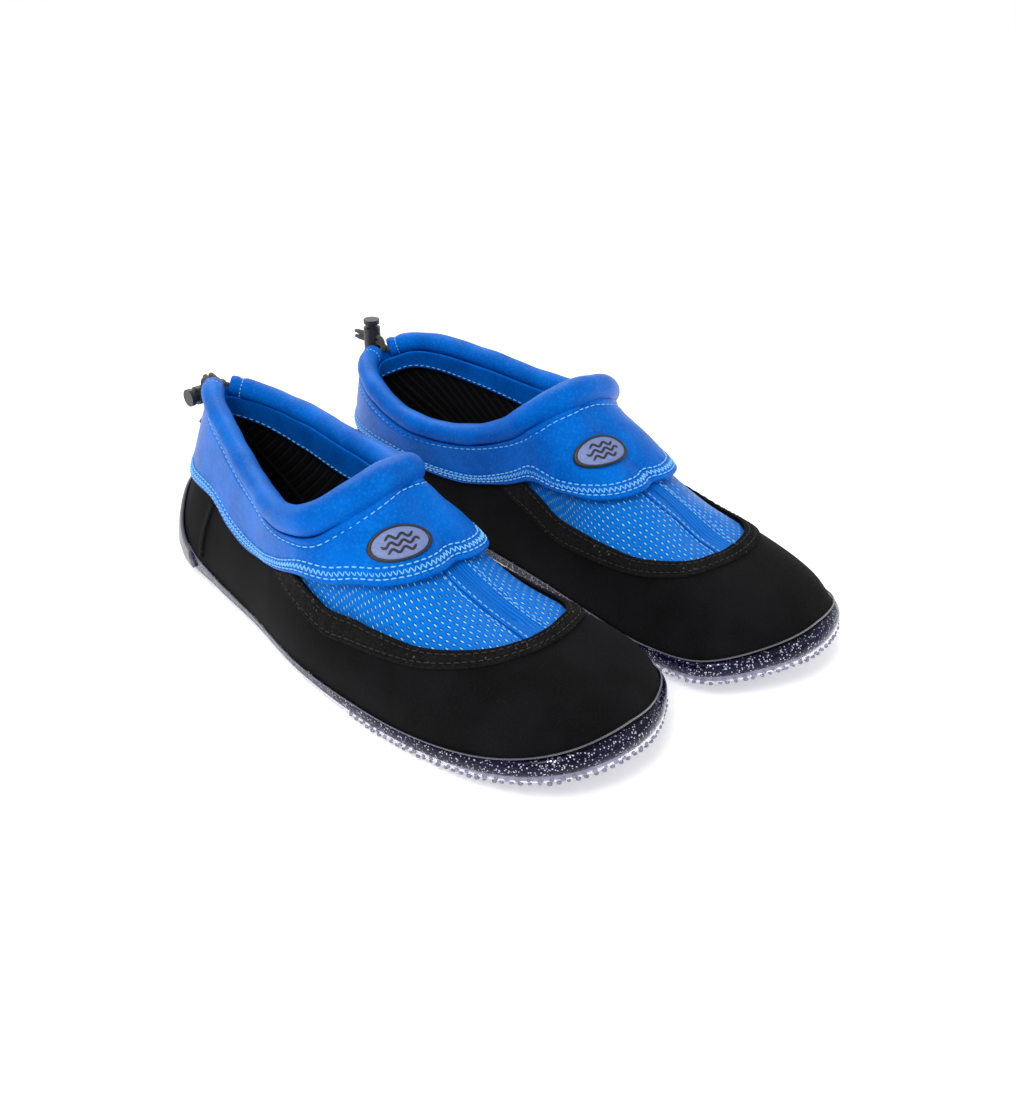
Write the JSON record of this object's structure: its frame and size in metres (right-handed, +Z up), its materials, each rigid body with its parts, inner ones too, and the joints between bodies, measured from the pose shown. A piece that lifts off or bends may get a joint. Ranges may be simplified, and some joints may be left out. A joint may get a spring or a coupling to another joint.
{
  "type": "pair of neoprene water shoes",
  "caption": "Low slip-on water shoes with a rolled neoprene collar, mesh instep window, wrapped rubber sole and a heel drawcord with a spring lock.",
  "frame": {"origin": "centre of the pair's bounding box in plan, on the ground under the soles", "axes": "+Z up; toes point to -Y, heels to +Y; the right shoe is on the -X side, the left shoe on the +X side"},
  "size_m": [0.2116, 0.2991, 0.1015],
  "materials": {
    "clear_rubber": "clear lavender-grey moulded rubber, glossy",
    "glitter_rubber": "navy-black moulded rubber with silver glitter, glossy",
    "black_neoprene": "black knit face over foam, matte",
    "black_knit": "black knit lining, matte",
    "black_trim": "black brushed binding tape, matte",
    "blue_neoprene": "blue fine knit over foam, satin",
    "blue_mesh": "blue air mesh with small oval holes, satin",
    "blue_ribbon": "blue fine-ribbed ribbon, satin",
    "badge_rim": "black soft moulded rim, satin",
    "badge_face": "grey-blue soft moulded face, satin",
    "black_cord": "black round elastic cord, matte",
    "black_plastic": "black moulded plastic, fine matte",
    "spring_steel": "drawn spring wire"
  },
  "bodies": {
    "right_shoe": {"right_outsole": "clear_rubber", "right_rim_band": "glitter_rubber", "right_heel_cup": "clear_rubber", "right_strobel_board": "black_knit", "right_insole": "black_knit", "right_lining": "black_knit", "right_seam_tape": "black_trim", "right_vamp": "black_neoprene", "right_heel_piping": "black_trim", "right_mesh_insert": "blue_mesh", "right_centre_strip": "blue_ribbon", "right_window_binding": "black_trim", "right_collar_overlay": "blue_neoprene", "right_collar_facing": "blue_neoprene", "right_collar_roll": "blue_neoprene", "right_badge_rim": "badge_rim", "right_badge_face": "badge_face", "right_drawcord": "black_cord"},
    "right_cord_lock": {"right_lock_barrel": "black_plastic", "right_lock_base": "black_plastic", "right_lock_spring": "spring_steel"},
    "right_plunger": {"right_lock_plunger": "black_plastic"},
    "left_shoe": {"left_outsole": "clear_rubber", "left_rim_band": "glitter_rubber", "left_heel_cup": "clear_rubber", "left_strobel_board": "black_knit", "left_insole": "black_knit", "left_lining": "black_knit", "left_seam_tape": "black_trim", "left_vamp": "black_neoprene", "left_heel_piping": "black_trim", "left_mesh_insert": "blue_mesh", "left_centre_strip": "blue_ribbon", "left_window_binding": "black_trim", "left_collar_overlay": "blue_neoprene", "left_collar_facing": "blue_neoprene", "left_collar_roll": "blue_neoprene", "left_badge_rim": "badge_rim", "left_badge_face": "badge_face", "left_drawcord": "black_cord"},
    "left_cord_lock": {"left_lock_barrel": "black_plastic", "left_lock_base": "black_plastic", "left_lock_spring": "spring_steel"},
    "left_plunger": {"left_lock_plunger": "black_plastic"}
  },
  "joints": [
    {"name": "left_lift", "type": "slide", "parent": "right_shoe", "child": "left_shoe", "axis": [0, 0, 1], "range_m": [0, 0.15]},
    {"name": "right_lock_slide", "type": "slide", "parent": "right_shoe", "child": "right_cord_lock", "axis": [0, 0, -1], "range_m": [0, 0.006]},
    {"name": "right_plunger_press", "type": "slide", "parent": "right_cord_lock", "child": "right_plunger", "axis": [0.9995, -0.0314, 0], "range_m": [0, 0.002], "stiffness_N_per_m": 300, "deforming": ["right_lock_spring"]},
    {"name": "left_lock_slide", "type": "slide", "parent": "left_shoe", "child": "left_cord_lock", "axis": [-0.0314, 0.9995, 0], "range_m": [0, 0.006]},
    {"name": "left_plunger_press", "type": "slide", "parent": "left_cord_lock", "child": "left_plunger", "axis": [0, 0, -1], "range_m": [0, 0.002], "stiffness_N_per_m": 300, "deforming": ["left_lock_spring"]}
  ]
}
